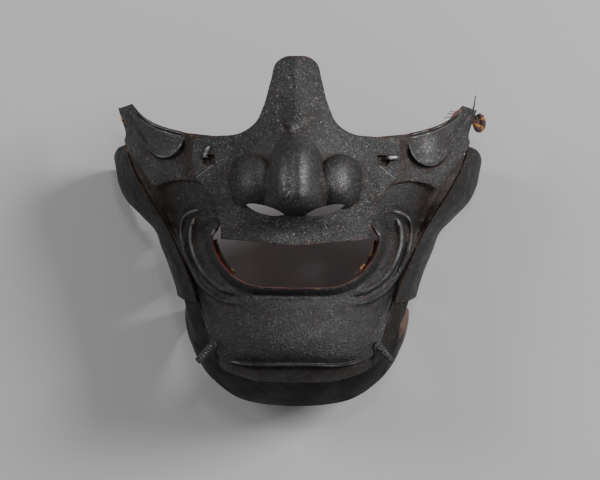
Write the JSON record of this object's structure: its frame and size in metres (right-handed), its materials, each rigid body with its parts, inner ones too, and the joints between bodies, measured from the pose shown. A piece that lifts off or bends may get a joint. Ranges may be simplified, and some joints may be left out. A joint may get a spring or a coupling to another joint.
{
  "type": "samurai face guard",
  "caption": "Iron half mask that guards nose, cheeks, jaw and chin, with a hooked-on nose plate, an open mouth, ear plates, cord pegs and a throat plate.",
  "frame": {"origin": "on the plane of the rear rims that the mask lies on, under the middle of its bounding box", "axes": "+Z out of the face, +Y towards the forehead, +X to the right in the picture's view"},
  "size_m": [0.1809, 0.1652, 0.1116],
  "materials": {
    "russet_iron": "pitted russet iron, red lacquer inside",
    "black_lacquer": "worn black lacquer over iron",
    "bright_steel": "worn bright",
    "peg_iron": "pitted russet iron",
    "brocade": "worn woven silk",
    "silk_cord": "braided silk in several colours"
  },
  "bodies": {
    "guard": {"nose_plate": "russet_iron", "cheek_plate_left": "russet_iron", "cheek_plate_right": "russet_iron", "jaw_plate": "russet_iron", "ear_plate_left": "russet_iron", "ear_plate_right": "russet_iron", "throat_plate": "black_lacquer", "cord_peg_left": "peg_iron", "cord_peg_right": "peg_iron", "lining_strip_left": "brocade", "lining_strip_right": "brocade", "cord_tuft": "silk_cord"},
    "catch_right": {"nose_catch_right": "bright_steel"},
    "catch_left": {"nose_catch_left": "bright_steel"}
  },
  "joints": [
    {"name": "catch_turn_right", "type": "hinge", "parent": "guard", "child": "catch_right", "pos_m": [0.04251, 0.03589, 0.07474], "axis": [0.3118, 0.0747, 0.9472], "range_deg": [0, 180]},
    {"name": "catch_turn_left", "type": "hinge", "parent": "guard", "child": "catch_left", "pos_m": [-0.04251, 0.03589, 0.07474], "axis": [-0.3118, 0.0747, 0.9472], "range_deg": [-65, 115]}
  ]
}
